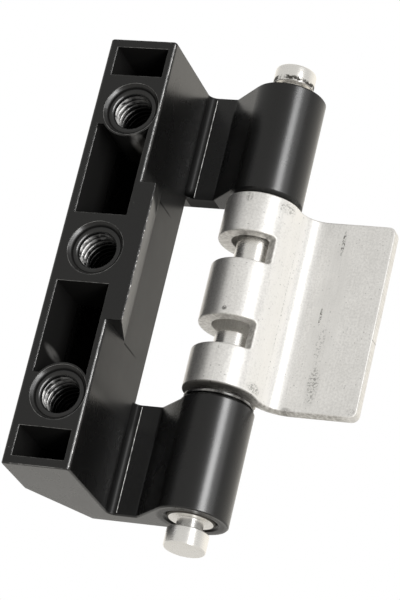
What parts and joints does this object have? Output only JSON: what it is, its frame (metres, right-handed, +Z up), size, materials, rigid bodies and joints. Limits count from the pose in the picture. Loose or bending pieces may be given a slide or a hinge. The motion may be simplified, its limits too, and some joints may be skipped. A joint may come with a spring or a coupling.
{
  "type": "concealed hinge",
  "caption": "Concealed door hinge: a black cast bracket with threaded fixing holes and cored pockets, a rolled zinc-plated leaf and pull-out pins.",
  "frame": {"origin": "on the mounting face, at the mouth of the middle threaded hole", "axes": "+X from the bar towards the pins, +Y from the mounting face into the bracket, +Z up along the pins"},
  "size_m": [0.0382, 0.0193, 0.0682],
  "materials": {
    "black_paint": "semi-gloss black coat on a zinc die casting",
    "zinc_plate": "satin zinc plating on rolled steel sheet",
    "turned_steel": "bright turned and plated steel",
    "bright_steel": "bright stamped steel"
  },
  "bodies": {
    "bracket": {"bracket": "black_paint", "washer": "bright_steel"},
    "leaf": {"leaf": "zinc_plate"},
    "upper_pin": {"upper_pin": "turned_steel"},
    "lower_pin": {"lower_pin": "turned_steel"}
  },
  "joints": [
    {"name": "leaf_swing", "type": "hinge", "parent": "bracket", "child": "leaf", "pos_m": [0.0156, 0.0143, 0], "axis": [0, 0, 1], "range_deg": [-130, 148]},
    {"name": "upper_pin_pull", "type": "slide", "parent": "bracket", "child": "upper_pin", "axis": [0, 0, 1], "range_m": [0, 0.0096]},
    {"name": "lower_pin_pull", "type": "slide", "parent": "bracket", "child": "lower_pin", "axis": [0, 0, -1], "range_m": [0, 0.0096]}
  ]
}
